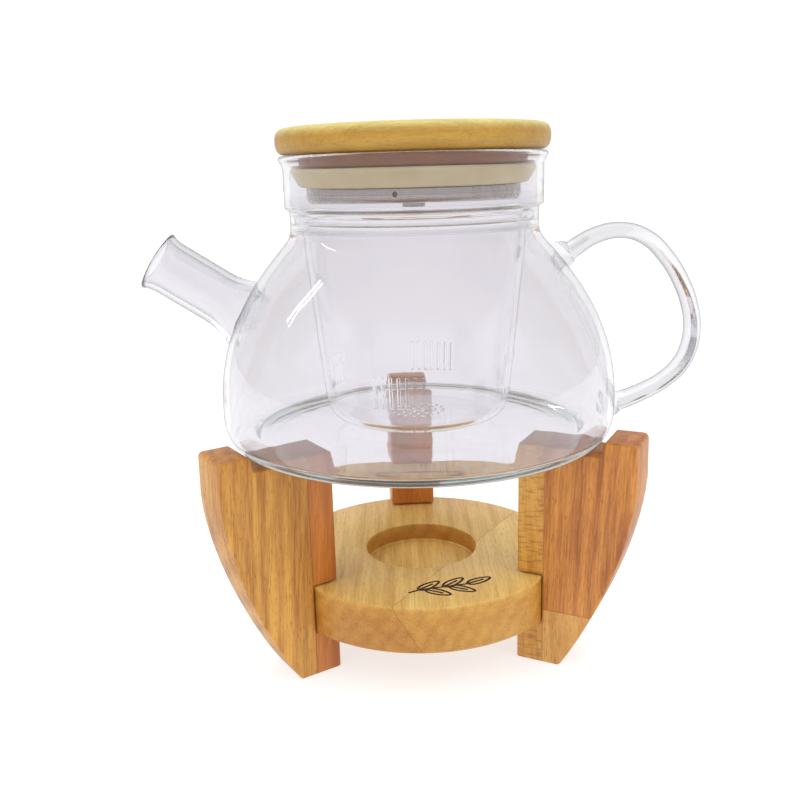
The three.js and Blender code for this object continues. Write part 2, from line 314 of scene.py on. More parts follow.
# Faint wipe marks and dust, for glass and metal.
def makeWipeMarks():
    group, start, end = newGroup(
        "wipeMarks",
        [("Vector", "NodeSocketVector", None), ("Least", "NodeSocketFloat", 0.0),
         ("Most", "NodeSocketFloat", 0.05)],
        [("Roughness", "NodeSocketFloat"), ("Height", "NodeSocketFloat")])
    broad = noiseNode(group, start.outputs["Vector"], 34, 3, (-800, 100))
    upward = stretched(group, start.outputs["Vector"], (1, 1, 0.2), (-1000, -150))
    fine = noiseNode(group, upward, 420, 2, (-800, -150))
    marks = mathNode(group, "MULTIPLY", (-500, 0), rangeNode(group, (-600, 100), broad, 0.45, 0.75),
                     rangeNode(group, (-600, -150), fine, 0.45, 0.7), clamp=True)
    spread = mathNode(group, "SUBTRACT", (-300, -200), start.outputs["Most"], start.outputs["Least"])
    rough = mathNode(group, "ADD", (0, 0), mathNode(group, "MULTIPLY", (-150, 0), marks, spread),
                     start.outputs["Least"])
    group.links.new(rough, end.inputs["Roughness"])
    group.links.new(noiseNode(group, start.outputs["Vector"], 55, 2, (-500, -400)), end.inputs["Height"])
    return group


woodGrain = makeWoodGrain()
edgeWear = makeEdgeWear()
wipeMarks = makeWipeMarks()
print("shader groups ready")


# ---- materials ----

def newMaterial(name):
    material = bpy.data.materials.new(name)
    material.use_nodes = True
    tree = material.node_tree
    shader = tree.nodes["Principled BSDF"]
    shader.location = (900, 0)
    tree.nodes["Material Output"].location = (1300, 0)
    return material, tree, shader


def addGroup(tree, group, at, **values):
    node = addNode(tree, "ShaderNodeGroup", at, node_tree=group)
    for key, value in values.items():
        node.inputs[key].default_value = value
    return node


def addRelief(tree, shader, height, strength, distance):
    relief = addNode(tree, "ShaderNodeBump", (600, -300))
    relief.inputs["Strength"].default_value = strength
    relief.inputs["Distance"].default_value = distance
    tree.links.new(height, relief.inputs["Height"])
    tree.links.new(relief.outputs[0], shader.inputs["Normal"])


# Turns object coordinates about the pot's axis, so that X runs out along a plank.
def localCoordinates(tree, turn):
    place = addNode(tree, "ShaderNodeTexCoord", (-1800, 0))
    mapping = addNode(tree, "ShaderNodeMapping", (-1600, 0))
    back = Matrix.Rotation(-math.radians(turn), 3, "Z")
    shift = back @ Vector((-axisX, -axisY, 0))
    mapping.inputs["Location"].default_value = shift
    mapping.inputs["Rotation"].default_value = (0, 0, -math.radians(turn))
    tree.links.new(place.outputs["Object"], mapping.inputs["Vector"])
    return mapping.outputs[0]


# One board: the grain group on coordinates turned so that the fibres run along its Z.
def addBoard(tree, local, board, at):
    mapping = addNode(tree, "ShaderNodeMapping", at)
    mapping.inputs["Location"].default_value = board["shift"]
    mapping.inputs["Rotation"].default_value = board["tilt"]
    tree.links.new(local, mapping.inputs["Vector"])
    grain = addGroup(tree, woodGrain, (at[0] + 200, at[1]),
                     Rings=board["rings"], Pores=board["pores"], Rays=board["rays"])
    for socket, key in (("Light", "light"), ("Dark", "dark"), ("Pore", "pore")):
        grain.inputs[socket].default_value = board[key] + (1,)
    tree.links.new(mapping.outputs[0], grain.inputs["Vector"])
    return grain


# Wood of one or more glued boards. Each further board takes over beyond a plane, with a thin glue line.
def woodMaterial(name, turn, main, glued=(), wear=0.5, bump=0.35, coat=0.15,
                 fibres=(0, 0, 1), endTone=1.0, paintedSideShade=None):
    material, tree, shader = newMaterial(name)
    local = localCoordinates(tree, turn)
    board = addBoard(tree, local, main, (-1300, 300))
    colour = board.outputs["Color"]
    shape = {key: board.outputs[key] for key in ("Roughness", "Height")}
    for index, part in enumerate(glued):
        y = -200 - 500 * index
        other = addBoard(tree, local, part["board"], (-1300, y))
        side = addNode(tree, "ShaderNodeVectorMath", (-1000, y - 250), operation="DOT_PRODUCT")
        side.inputs[1].default_value = part["towards"]
        tree.links.new(local, side.inputs[0])
        beyond = mathNode(tree, "SUBTRACT", (-800, y - 250), side.outputs["Value"], part["from"] * mm)
        mask = rangeNode(tree, (-600, y - 250), beyond, 0, 0.0002)
        line = rangeNode(tree, (-600, y - 450), mathNode(tree, "ABSOLUTE", (-800, y - 450), beyond),
                         0.0003, 0.0001, 0.0, part["line"])
        colour = mixColours(tree, (-300, y), mask, colour, other.outputs["Color"])
        colour = mixColours(tree, (-100, y), line, colour, part["glue"] + (1,))
        for key, drop in (("Roughness", 400), ("Height", 200)):
            node = addNode(tree, "ShaderNodeMix", (-300, y - drop))
            tree.links.new(mask, node.inputs[0])
            tree.links.new(shape[key], node.inputs[2])
            tree.links.new(other.outputs[key], node.inputs[3])
            shape[key] = node.outputs[0]
    # End grain drinks more oil, so faces across the fibres are darker.
    facing = addNode(tree, "ShaderNodeNewGeometry", (-700, 700))
    across = addNode(tree, "ShaderNodeVectorMath", (-500, 700), operation="DOT_PRODUCT")
    across.inputs[1].default_value = fibres
    tree.links.new(facing.outputs["Normal"], across.inputs[0])
    endOn = mathNode(tree, "ABSOLUTE", (-300, 700), across.outputs["Value"])
    ends = rangeNode(tree, (-100, 700), endOn, 0.25, 0.9, 0.0, endTone)
    colour = mixColours(tree, (0, 500), ends, colour, (0.80, 0.70, 0.58, 1), "MULTIPLY")
    if paintedSideShade:
        # Painted shade: faces that turn away from straight up, such as the rim and the recess wall, are
        # multiplied darker than the flat top.
        parts = addNode(tree, "ShaderNodeSeparateXYZ", (-500, 950))
        tree.links.new(facing.outputs["Normal"], parts.inputs[0])
        level = rangeNode(tree, (-100, 950), parts.outputs[2], 0.65, 0.1)
        colour = mixColours(tree, (200, 700), level, colour, paintedSideShade + (1,), "MULTIPLY")
    worn = addGroup(tree, edgeWear, (100, 300), Reach=0.0012)
    tree.links.new(local, worn.inputs["Vector"])
    wearing = mathNode(tree, "MULTIPLY", (300, 300), worn.outputs["Wear"], wear)
    colour = mixColours(tree, (500, 200), wearing, colour, main["light"] + (1,))
    tree.links.new(colour, shader.inputs["Base Color"])
    dulled = mathNode(tree, "MULTIPLY", (300, 0), wearing, 0.12)
    rough = mathNode(tree, "ADD", (500, 0), shape["Roughness"], dulled)
    tree.links.new(rough, shader.inputs["Roughness"])
    addRelief(tree, shader, shape["Height"], bump, 0.00025)
    shader.inputs["Coat Weight"].default_value = coat
    shader.inputs["Coat Roughness"].default_value = 0.35
    return material


# Painted shade along the glass where it is seen edge on, in place of the dark outlines that refraction
# gives. The body has a narrow band, from 0.8 of the way to edge on, and the spout and handle, which stand
# clear of it, have a broad one.
paintedEdgeShade = {"narrow": 0.8, "broad": 0.3, "power": 1.7, "most": 0.8, "lean": 0.72,
            "beside": (0.0722, 0.0765), "above": (0.0985, 0.106), "top": (0.0765, 0.0755)}


def addPaintedEdgeShade(tree):
    local = localCoordinates(tree, 0)
    parts = addNode(tree, "ShaderNodeSeparateXYZ", (-1200, 800))
    tree.links.new(local, parts.inputs[0])
    flat = addNode(tree, "ShaderNodeVectorMath", (-1200, 1000), operation="MULTIPLY")
    flat.inputs[1].default_value = (1, 1, 0)
    tree.links.new(local, flat.inputs[0])
    reach = addNode(tree, "ShaderNodeVectorMath", (-1000, 1000), operation="LENGTH")
    tree.links.new(flat.outputs[0], reach.inputs[0])
    away = reach.outputs["Value"]
    risen = mathNode(tree, "SUBTRACT", (-1000, 800), parts.outputs[2], glassFoot)
    leaned = mathNode(tree, "MULTIPLY", (-900, 700), risen, paintedEdgeShade["lean"])
    slope = mathNode(tree, "ADD", (-800, 800), away, leaned)
    beside = rangeNode(tree, (-600, 1000), away, *paintedEdgeShade["beside"])
    above = rangeNode(tree, (-600, 800), slope, *paintedEdgeShade["above"])
    clear = mathNode(tree, "MAXIMUM", (-400, 900), beside, above)
    below = rangeNode(tree, (-600, 600), risen, *paintedEdgeShade["top"])
    clear = mathNode(tree, "MULTIPLY", (-200, 800), clear, below)
    facing = addNode(tree, "ShaderNodeLayerWeight", (0, 500))
    facing.inputs["Blend"].default_value = 0.5
    band = addNode(tree, "ShaderNodeMapRange", (200, 600))
    tree.links.new(facing.outputs["Facing"], band.inputs["Value"])
    start = rangeNode(tree, (0, 800), clear, 0, 1, paintedEdgeShade["narrow"], paintedEdgeShade["broad"])
    tree.links.new(start, band.inputs["From Min"])
    curved = mathNode(tree, "POWER", (400, 600), band.outputs[0], paintedEdgeShade["power"])
    return mathNode(tree, "MULTIPLY", (600, 600), curved, paintedEdgeShade["most"])


def mixShaders(tree, at, factor, first, second):
    node = addNode(tree, "ShaderNodeMixShader", at)
    for index, link in enumerate((factor, first, second)):
        tree.links.new(link, node.inputs[index])
    return node.outputs[0]


# Clear glass that lets lamps through, with faint wipe marks, a slight waviness and painted shade where it
# is seen edge on.
def glassMaterial(name, tint, paintedEdgeShadeTint, depthTint, wave=0.05):
    material, tree, shader = newMaterial(name)
    shader.inputs["Base Color"].default_value = tint + (1,)
    shader.inputs["Transmission Weight"].default_value = 1.0
    shader.inputs["IOR"].default_value = 1.47
    place = addNode(tree, "ShaderNodeTexCoord", (-600, 0))
    marks = addGroup(tree, wipeMarks, (-300, 0), Least=0.0, Most=0.02)
    tree.links.new(place.outputs["Object"], marks.inputs["Vector"])
    tree.links.new(marks.outputs["Roughness"], shader.inputs["Roughness"])
    addRelief(tree, shader, marks.outputs["Height"], wave, 0.002)
    through = addNode(tree, "ShaderNodeBsdfTransparent", (900, -500))
    through.inputs["Color"].default_value = (0.98, 0.98, 0.98, 1)
    # Painted shade: a dark see-through layer, mixed in where the glass is seen edge on.
    edge = addNode(tree, "ShaderNodeBsdfTransparent", (900, -700))
    edge.inputs["Color"].default_value = paintedEdgeShadeTint + (1,)
    paintedEdgeShaded = mixShaders(tree, (1000, 200), addPaintedEdgeShade(tree), shader.outputs[0], edge.outputs[0])
    # Light caught inside the wall leaves it after a while instead of going dark.
    rays = addNode(tree, "ShaderNodeLightPath", (900, 400))
    caught = mathNode(tree, "GREATER_THAN", (700, 500), rays.outputs["Ray Depth"], 12)
    passing = mathNode(tree, "MAXIMUM", (1000, 450), rays.outputs["Is Shadow Ray"], caught)
    surface = mixShaders(tree, (1150, 100), passing, paintedEdgeShaded, through.outputs[0])
    thick = addNode(tree, "ShaderNodeVolumeAbsorption", (1100, -300))
    thick.inputs["Color"].default_value = depthTint + (1,)
    thick.inputs["Density"].default_value = 30
    output = tree.nodes["Material Output"]
    tree.links.new(surface, output.inputs["Surface"])
    tree.links.new(thick.outputs[0], output.inputs["Volume"])
    return material


def siliconeMaterial():
    material, tree, shader = newMaterial("sealSilicone")
    place = addNode(tree, "ShaderNodeTexCoord", (-900, 0))
    clouds = noiseNode(tree, place.outputs["Object"], 90, 3, (-700, 100))
    specks = noiseNode(tree, place.outputs["Object"], 2400, 2, (-700, -200))
    colour = mixColours(tree, (-300, 100), rangeNode(tree, (-500, 100), clouds, 0.3, 0.7),
                        (0.82, 0.69, 0.41, 1), (0.71, 0.58, 0.32, 1))
    tree.links.new(colour, shader.inputs["Base Color"])
    rough = rangeNode(tree, (-500, -200), specks, 0.3, 0.7, 0.42, 0.6)
    tree.links.new(rough, shader.inputs["Roughness"])
    addRelief(tree, shader, specks, 0.15, 0.0001)
    shader.inputs["Subsurface Weight"].default_value = 0.25
    shader.inputs["Subsurface Radius"].default_value = (0.004, 0.003, 0.002)
    shader.inputs["Subsurface Scale"].default_value = 1.0
    return material


# Spun steel with turning lines round the axis.
def steelMaterial(name, base, lines):
    material, tree, shader = newMaterial(name)
    local = localCoordinates(tree, 0)
    parts = addNode(tree, "ShaderNodeSeparateXYZ", (-1200, 0))
    tree.links.new(local, parts.inputs[0])
    flat = addNode(tree, "ShaderNodeCombineXYZ", (-1000, 150))
    tree.links.new(parts.outputs[0], flat.inputs[0])
    tree.links.new(parts.outputs[1], flat.inputs[1])
    distance = addNode(tree, "ShaderNodeVectorMath", (-850, 150), operation="LENGTH")
    tree.links.new(flat.outputs[0], distance.inputs[0])
    across = addNode(tree, "ShaderNodeCombineXYZ", (-650, 0))
    tree.links.new(distance.outputs["Value"], across.inputs[0])
    tree.links.new(parts.outputs[2], across.inputs[2])
    turning = noiseNode(tree, across.outputs[0], lines, 4, (-450, 0), 0.7)
    marks = addGroup(tree, wipeMarks, (-450, -300), Least=0.16, Most=0.34)
    tree.links.new(local, marks.inputs["Vector"])
    colour = mixColours(tree, (-100, 200), rangeNode(tree, (-250, 200), turning, 0.3, 0.7),
                        base + (1,), tuple(0.72 * part for part in base) + (1,))
    tree.links.new(colour, shader.inputs["Base Color"])
    grooves = rangeNode(tree, (0, -200), turning, 0.3, 0.7, 0.0, 0.14)
    rough = mathNode(tree, "ADD", (200, -100), marks.outputs["Roughness"], grooves)
    tree.links.new(rough, shader.inputs["Roughness"])
    shader.inputs["Metallic"].default_value = 1.0
    addRelief(tree, shader, turning, 0.1, 0.00005)
    return material


def giveMaterial(piece, *materials):
    piece.data.materials.clear()
    for material in materials:
        piece.data.materials.append(material)


honey = {"light": (0.72, 0.36, 0.056), "dark": (0.37, 0.13, 0.016), "pore": (0.26, 0.08, 0.012),
         "rings": 0.36, "pores": 0.55, "rays": 0.0, "shift": (0.0, 0.0, 0.0), "tilt": (0.03, 0.05, 0.2)}
redOak = dict(honey, light=(0.70, 0.29, 0.05), dark=(0.33, 0.09, 0.012), shift=(0.3, 0.1, 0.2),
              tilt=(0.03, -0.04, 0.1))
darkStrip = dict(honey, light=(0.64, 0.22, 0.034), dark=(0.40, 0.115, 0.016), pores=0.3,
                 shift=(0.7, 0.4, 0.1))
fleckStrip = dict(honey, light=(0.76, 0.42, 0.085), dark=(0.55, 0.245, 0.04), rays=0.5, pores=0.3,
                  shift=(0.5, 0.9, 0.3))
paleBlock = dict(honey, light=(0.70, 0.38, 0.10), dark=(0.52, 0.235, 0.045), shift=(0.2, 0.8, 0.5))
discWood = dict(honey, light=(0.93, 0.67, 0.22), dark=(0.70, 0.40, 0.09), rings=0.22, pores=0.3,
                shift=(0.05, 0.02, 0.0), tilt=(math.radians(90), 0, math.radians(-32)))
discOther = dict(discWood, light=(0.88, 0.59, 0.175), dark=(0.64, 0.345, 0.075), shift=(0.4, 0.3, 0.2))
lidWood = dict(honey, light=(0.68, 0.57, 0.185), dark=(0.50, 0.38, 0.095), pore=(0.33, 0.16, 0.035),
               rings=0.3, pores=0.35, shift=(0.1, 0.6, 0.2), tilt=(0, math.radians(90), 0))
bossWood = dict(lidWood, light=(0.66, 0.32, 0.11), dark=(0.46, 0.19, 0.055), shift=(0.3, 0.2, 0.7))
scorched = dict(discWood, light=(0.055, 0.022, 0.010), dark=(0.028, 0.011, 0.006),
                pore=(0.012, 0.006, 0.004))
rearStrip = dict(darkStrip, shift=(0.1, 0.3, 0.9))
rearRed = dict(redOak, light=(0.72, 0.36, 0.09), dark=(0.5, 0.2, 0.04), shift=(0.6, 0.2, 0.4))


# A board glued on beyond a plane, which lies "start" millimetres along a direction.
def gluedBoard(board, towards, start, line):
    return {"board": board, "towards": towards, "from": start, "glue": (0.16, 0.055, 0.016), "line": line}


inwards = (-1, 0, 0)  # in a plank's own coordinates, towards the pot's axis
downwards = (0, 0, -1)
stripFrom = -52
blockFrom = -21

leftOak = woodMaterial("leftPlankOak", spokes["leg_front_left"], honey, [
    gluedBoard(darkStrip, inwards, stripFrom, 0.5)])
rightOak = woodMaterial("rightPlankOak", spokes["leg_front_right"], redOak, [
    gluedBoard(paleBlock, downwards, blockFrom, 0.35),
    gluedBoard(fleckStrip, inwards, stripFrom, 0.35)])
rearOak = woodMaterial("rearPlankOak", spokes["leg_rear"], rearRed, [
    gluedBoard(rearStrip, inwards, stripFrom, 0.5)])
# The disc and the lid carry painted shade on their upright faces, which makes them darker than their tops.
discOak = woodMaterial("discOak", 0, discWood, [
    gluedBoard(discOther, (-0.734, 0.458, -0.501), -32.0, 0.3)],
    wear=0.35, fibres=(0.53, 0.85, 0), endTone=0.35, paintedSideShade=(0.68, 0.50, 0.26))
lidBamboo = woodMaterial("lidBamboo", 0, lidWood, [
    gluedBoard(bossWood, downwards, -(glassFoot / mm + 99.4), 0.4)],
    wear=0.3, bump=0.2, fibres=(1, 0, 0), endTone=0.2, paintedSideShade=(0.74, 0.50, 0.2))
dowelBeech = woodMaterial("dowelBeech", 0, dict(lidWood, shift=(0.9, 0.1, 0.4)), wear=0.2)
# The second colour of each glass is its painted edge shade.
potGlass = glassMaterial("potGlass", (0.852, 0.838, 0.865), (0.17, 0.165, 0.17), (0.90, 0.93, 0.91))
infuserGlass = glassMaterial("infuserGlass", (0.995, 0.99, 1.0), (0.45, 0.44, 0.45), (0.94, 0.96, 0.95),
                             wave=0.03)
silicone = siliconeMaterial()
cupSteel = steelMaterial("cupSteel", (0.48, 0.43, 0.40), 5200)
screwSteel = steelMaterial("screwSteel", (0.62, 0.6, 0.58), 3600)
burned = woodMaterial("burnedLine", 0, scorched, wear=0.0, coat=0.0)
print("materials ready")


# ---- stand: disc ----

disc = {"radius": 53, "edge": 1.3, "recessRadius": 21, "recessDepth": 7, "recessEdge": 0.7,
        "flat": 51.2, "dowelHole": 3.3, "dowelDepth": 7.8, "sides": 144}


def makeDisc():
    r, edge = disc["radius"], disc["edge"]
    rr, re = disc["recessRadius"], disc["recessEdge"]
    floor = discTop - disc["recessDepth"]
    rings = [(30, discBottom), (r - edge, discBottom), (r - 0.4 * edge, discBottom + 0.25 * edge),
             (r, discBottom + edge), (r, discTop - edge), (r - 0.3 * edge, discTop - 0.3 * edge),
             (r - edge, discTop), (rr + re, discTop), (rr + 0.3 * re, discTop - 0.3 * re),
             (rr, discTop - re), (rr, floor + 0.4), (rr - 0.4, floor), (rr * 0.5, floor)]
    piece = turnRings("discPiece", rings, disc["sides"])
    # A flat where each plank takes the disc.
    for turn in spokes.values():
        out = outwards(turn)
        bpy.ops.object.mode_set(mode="EDIT")
        bpy.ops.mesh.select_all(action="SELECT")
        bpy.ops.mesh.bisect(plane_co=Vector((axisX, axisY, 0)) + out * disc["flat"] * mm, plane_no=out,
                            use_fill=True, clear_outer=True)
        bpy.ops.object.mode_set(mode="OBJECT")
    for turn in spokes.values():
        middle = Vector((axisX, axisY, (discTop + discBottom) / 2 * mm))
        deselectAll()
        bpy.ops.mesh.primitive_cylinder_add(
            vertices=24, radius=disc["dowelHole"] * mm, depth=2 * disc["dowelDepth"] * mm,
            location=middle + outwards(turn) * disc["flat"] * mm,
            rotation=(math.pi / 2, 0, math.radians(turn + 90)))
        combine(piece, bpy.context.object, "DIFFERENCE")
    return piece


# A burned sprig of tea leaves, drawn as thin grooves between the recess and the rim.
sprig = {"x": 9.5, "y": -37.2, "turn": 9, "groove": 0.55, "raised": 0.12, "leaf": 9.4,
         "width": 3.5, "vein": 0.72,
         "leaves": [(-11.6, 0.0, 32), (-9.2, -0.2, -36), (-2.6, 0.6, 34), (-0.6, 0.4, -34), (6.0, 1.1, 20)],
         "stem": [(-15.5, -1.4), (-11.6, -0.2), (-6, 0.4), (0, 0.6), (6.2, 1.1)]}


# Turns a point of a drawing by an angle in degrees and moves it to x, y.
def turned(u, v, angle, x, y):
    a = math.radians(angle)
    return (x + u * math.cos(a) - v * math.sin(a), y + u * math.sin(a) + v * math.cos(a))


def leafOutline(x, y, lean):
    points = []
    length, width = sprig["leaf"], sprig["width"]
    for step in range(25):
        t = step / 24
        along = length * (0.5 - 0.5 * math.cos(2 * math.pi * t))
        side = width / 2 * math.sin(2 * math.pi * t) * (1.25 - 0.45 * along / length)
        points.append(turned(along, side, lean, x, y))
    return points


def burnSprig(piece):
    lines = [sprig["stem"]]
    for x, y, lean in sprig["leaves"]:
        lines.append(leafOutline(x, y, lean))
        lines.append([(x, y), turned(sprig["leaf"] * sprig["vein"], 0, lean, x, y)])
    curve = bpy.data.curves.new("sprigLines", "CURVE")
    curve.dimensions = "3D"
    curve.bevel_depth = sprig["groove"] * mm
    curve.bevel_resolution = 2
    curve.use_fill_caps = True
    for line in lines:
        spline = curve.splines.new("POLY")
        spline.points.add(len(line) - 1)
        for point, (u, v) in zip(spline.points, line):
            x, y = turned(u, v, sprig["turn"], sprig["x"], sprig["y"])
            point.co = (axisX + x * mm, axisY + y * mm, (discTop + sprig["raised"]) * mm, 1)
    tool = bpy.data.objects.new("sprigLines", curve)
    bpy.context.scene.collection.objects.link(tool)
    makeActive(tool)
    bpy.ops.object.convert(target="MESH")
    tool = bpy.context.object
    giveMaterial(tool, burned)
    combine(piece, tool, "DIFFERENCE", selfMeeting=True)
    return piece


discPiece = makeDisc()
giveMaterial(discPiece, discOak, burned)
burnSprig(discPiece)
smooth(discPiece, 30)
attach(discPiece, "stand")
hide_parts("base_disc")
print("disc ready")


# ---- stand: planks ----

plank = {"thickness": 18, "inner": 42.3, "riser": 71.2, "outer": 83.35, "top": 85.3, "seat": 80.2,
         "footOuter": 58, "slotEnd": 51.5, "slotGap": 0.6, "bevel": 1.2}


def plankOutline():
    inner, outer, top = plank["inner"], plank["outer"], plank["top"]
    slotTop = discTop + plank["slotGap"]
    slotLow = discBottom - plank["slotGap"] / 2
    foot = (plank["footOuter"], 0)
    outline = [(inner, 0), foot]
    outline += curvePoints(foot, (66, 12), (outer - 1.4, 44), (outer, 70), 16)
    outline += curvePoints((outer, top - 2), (outer, top - 1), (outer - 1, top), (outer - 2, top), 4)
    outline += [(plank["riser"] + 0.8, top), (plank["riser"], plank["seat"]), (inner, plank["seat"]),
                (inner, slotTop), (plank["slotEnd"], slotTop), (plank["slotEnd"], slotLow),
                (inner, slotLow)]
    return outline


def makePlank(name):
    deselectAll()
    bpy.ops.mesh.primitive_plane_add(size=0.001, location=(0, 0, 0))
    piece = bpy.context.object
    outline = plankOutline()
    bpy.ops.object.mode_set(mode="EDIT")
    bpy.ops.mesh.select_all(action="SELECT")
    bpy.ops.mesh.merge(type="CENTER")
    half = plank["thickness"] / 2
    bpy.ops.transform.translate(value=(outline[0][0] * mm, -half * mm, outline[0][1] * mm))
    # The side is drawn point by point, filled and given its thickness.
    for (x0, z0), (x1, z1) in zip(outline, outline[1:] + outline[:1]):
        bpy.ops.mesh.extrude_vertices_move(
            TRANSFORM_OT_translate={"value": ((x1 - x0) * mm, 0, (z1 - z0) * mm)})
    bpy.ops.mesh.select_all(action="SELECT")
    bpy.ops.mesh.remove_doubles(threshold=1e-6)
    bpy.ops.mesh.edge_face_add()
    bpy.ops.mesh.extrude_region_move(TRANSFORM_OT_translate={"value": (0, 2 * half * mm, 0)})
    bpy.ops.mesh.select_all(action="SELECT")
    bpy.ops.mesh.normals_make_consistent(inside=False)
    bpy.ops.object.mode_set(mode="OBJECT")
    bevelEdges(piece, plank["bevel"], 3, 30)
    piece.location = (axisX, axisY, 0)
    piece.rotation_euler = (0, 0, math.radians(spokes[name]))
    settle(piece, name.replace("leg", "plank"))
    return piece


for name, material in zip(spokes, (leftOak, rightOak, rearOak)):
    plankPiece = makePlank(name)
    giveMaterial(plankPiece, material)
    smooth(plankPiece, 30)
    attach(plankPiece, "stand")
    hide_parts(name)
for name in ("dowel_front_left", "dowel_front_right", "dowel_rear"):
    giveMaterial(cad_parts[name], dowelBeech)
print("planks ready")


# ---- pot glass ----

pot = {"wall": 2.2, "base": 3.4, "body": 71, "foot": 65.5, "footHeight": 10, "neck": 43.6,
       "collar": 45.2, "neckTop": 80.3, "collarLow": 82, "rim": 99.1, "rimFlare": 1.4,
       "bead": 40.8, "beadLow": 74.5, "shelf": 76.6, "seat": 42.2, "sides": 144}


# The wall from the foot up to the neck, moved inwards by inset.
def wallPath(inset, low):
    body = pot["body"] - inset
    neck = pot["neck"] - inset
    rise = inset * 0.6
    start = (pot["foot"], low)
    heel = (body, pot["footHeight"] + inset)
    waist = (body, 14.0 + inset * 0.2)
    shoulder = (45.8 - inset, 69.3 - rise)
    path = [start]
    path += curvePoints(start, (pot["foot"] + 3.2, low), (body, pot["footHeight"] / 2), heel, 7)
    path += [waist] + curvePoints(waist, (body, 42 - rise), (54 - inset, 60 - rise), shoulder, 22)
    path += curvePoints(shoulder, (neck + 0.75, 71 - rise), (neck, 72.9 - rise), (neck, 75 - rise), 6)
    return path


def makeShell():
    wall, collar, rim, foot = pot["wall"], pot["collar"], pot["rim"], pot["foot"]
    neck, neckTop, collarLow = pot["neck"], pot["neckTop"], pot["collarLow"]
    outer = [(40, 1.2), (foot - 8, 1.2), (foot - 6.4, 0.7), (foot - 5, 0.1)]
    outer += wallPath(0, 0)
    outer += [(neck, neckTop - 2), (neck, neckTop)]
    outer += curvePoints((neck, neckTop), (neck, neckTop + 0.9), (collar, collarLow - 0.9),
                         (collar, collarLow), 5)
    lipR = collar + pot["rimFlare"]
    outer += [(collar, 88), (collar, rim - 4.5)]
    outer += curvePoints((collar, rim - 4.5), (collar, rim - 3), (lipR - 0.4, rim - 2.2),
                         (lipR, rim - wall / 2), 6)
    half = wall / 2
    lip = []
    for step in range(1, 9):
        a = math.radians(step * 22.5)
        lip.append((lipR - half + half * math.cos(a), rim - half + half * math.sin(a)))
    bore = collar - wall
    lip += curvePoints(lip[-1], (bore + 0.9, rim - 2.2), (bore, rim - 3.4), (bore, rim - 5), 5)
    seat, shelf, bead, beadLow = pot["seat"], pot["shelf"], pot["bead"], pot["beadLow"]
    inner = [(bore, collarLow + 1)]
    inner += curvePoints((bore, collarLow + 1), (bore, collarLow), (seat, neckTop + 0.7),
                         (seat, neckTop - 0.5), 5)
    inner += [(seat, shelf + 0.3), (seat - 0.3, shelf), (bead + 0.5, shelf), (bead + 0.1, shelf - 0.15),
              (bead, shelf - 0.5), (bead, beadLow + 0.6), (bead + 0.15, beadLow)]
    inner += wallPath(wall, pot["base"])[::-1]
    inner += [(45, pot["base"]), (20, pot["base"] + 0.1)]
    return turnRings("glassPiece", outer + lip + inner, pot["sides"], foot=glassFoot)


# A solid that fills the pot to the middle of its wall, which trims what is welded on.
def makeFilling():
    rings = [(30, 1.9)] + wallPath(pot["wall"] / 2, 1.9) + [(20, 90)]
    return turnRings("filling", rings, pot["sides"], foot=glassFoot)


spout = {"mouthX": -91.9, "mouthZ": 64.6, "angle": 33, "outer": 9.7, "bore": 7.8, "lip": 10.8,
         "rootFrom": -25, "length": 44, "flare": 7, "sides": 64}


def layAlongSpout(piece, name):
    piece.rotation_euler = (0, math.radians(spout["angle"] - 90), 0)
    piece.location = (axisX + spout["mouthX"] * mm, axisY, glassFoot + spout["mouthZ"] * mm)
    return settle(piece, name)


# The outside of the spout, from inside the pot out to its lip, with small ripples at the root.
def makeSpoutSolid():
    r, lip, length, root = spout["outer"], spout["lip"], spout["length"], spout["rootFrom"]
    start = (r + spout["flare"], -length)
    rings = [start] + curvePoints(start, (r + 3.2, -length + 6.5), (r + 0.2, root - 6), (r, root), 18)
    rings = [(radius + 0.16 * math.sin(height * 2.4) * max(0, min(1, (root + 3 - height) / 6)), height)
             for radius, height in rings]
    rings += [(r, -15), (r, -6)]
    rings += curvePoints((r, -6), (r, -3), (lip - 0.6, -1.6), (lip - 0.05, -0.7), 5)
    rings += [(lip, -0.4), (lip - 0.1, -0.1), (lip - 0.45, 0)]
    return layAlongSpout(turnRings("spoutSolid", rings, spout["sides"], centre=(0, 0)), "spoutSolid")


def makeSpoutBore():
    bore, lip, length, root = spout["bore"], spout["lip"], spout["length"], spout["rootFrom"]
    start = (bore + 6.5, -length - 8)
    rings = [start]
    rings += curvePoints(start, (bore + 4.2, -length + 2), (bore + 0.2, root - 6), (bore, root), 14)
    rings += [(bore, -15), (bore, -6)]
    rings += curvePoints((bore, -6), (bore, -3), (bore + 0.7, -1.2), (lip - 1.5, -0.25), 5)
    rings += [(lip - 1.1, 0.05), (lip - 1.0, 4)]
    return layAlongSpout(turnRings("spoutBore", rings, spout["sides"], centre=(0, 0)), "spoutBore")


handle = {"width": 10.5, "thickness": 5.6, "weld": 7, "ends": [(52, 62.5), (70.5, 7.8)],
          "route": [(47, 59.5), (55.5, 64.4), (64, 69.3), (73.5, 71), (82.5, 68.2), (90, 61),
                    (95.5, 52.5), (99, 44), (100.35, 36.5), (99.8, 29), (96.5, 21.5), (91, 16.2),
                    (84, 12.2), (76, 9), (67, 7)],
          "swell": [(0, 1.25), (1, 1.12), (2, 1.03), (-3, 1.03), (-2, 1.12), (-1, 1.2)]}


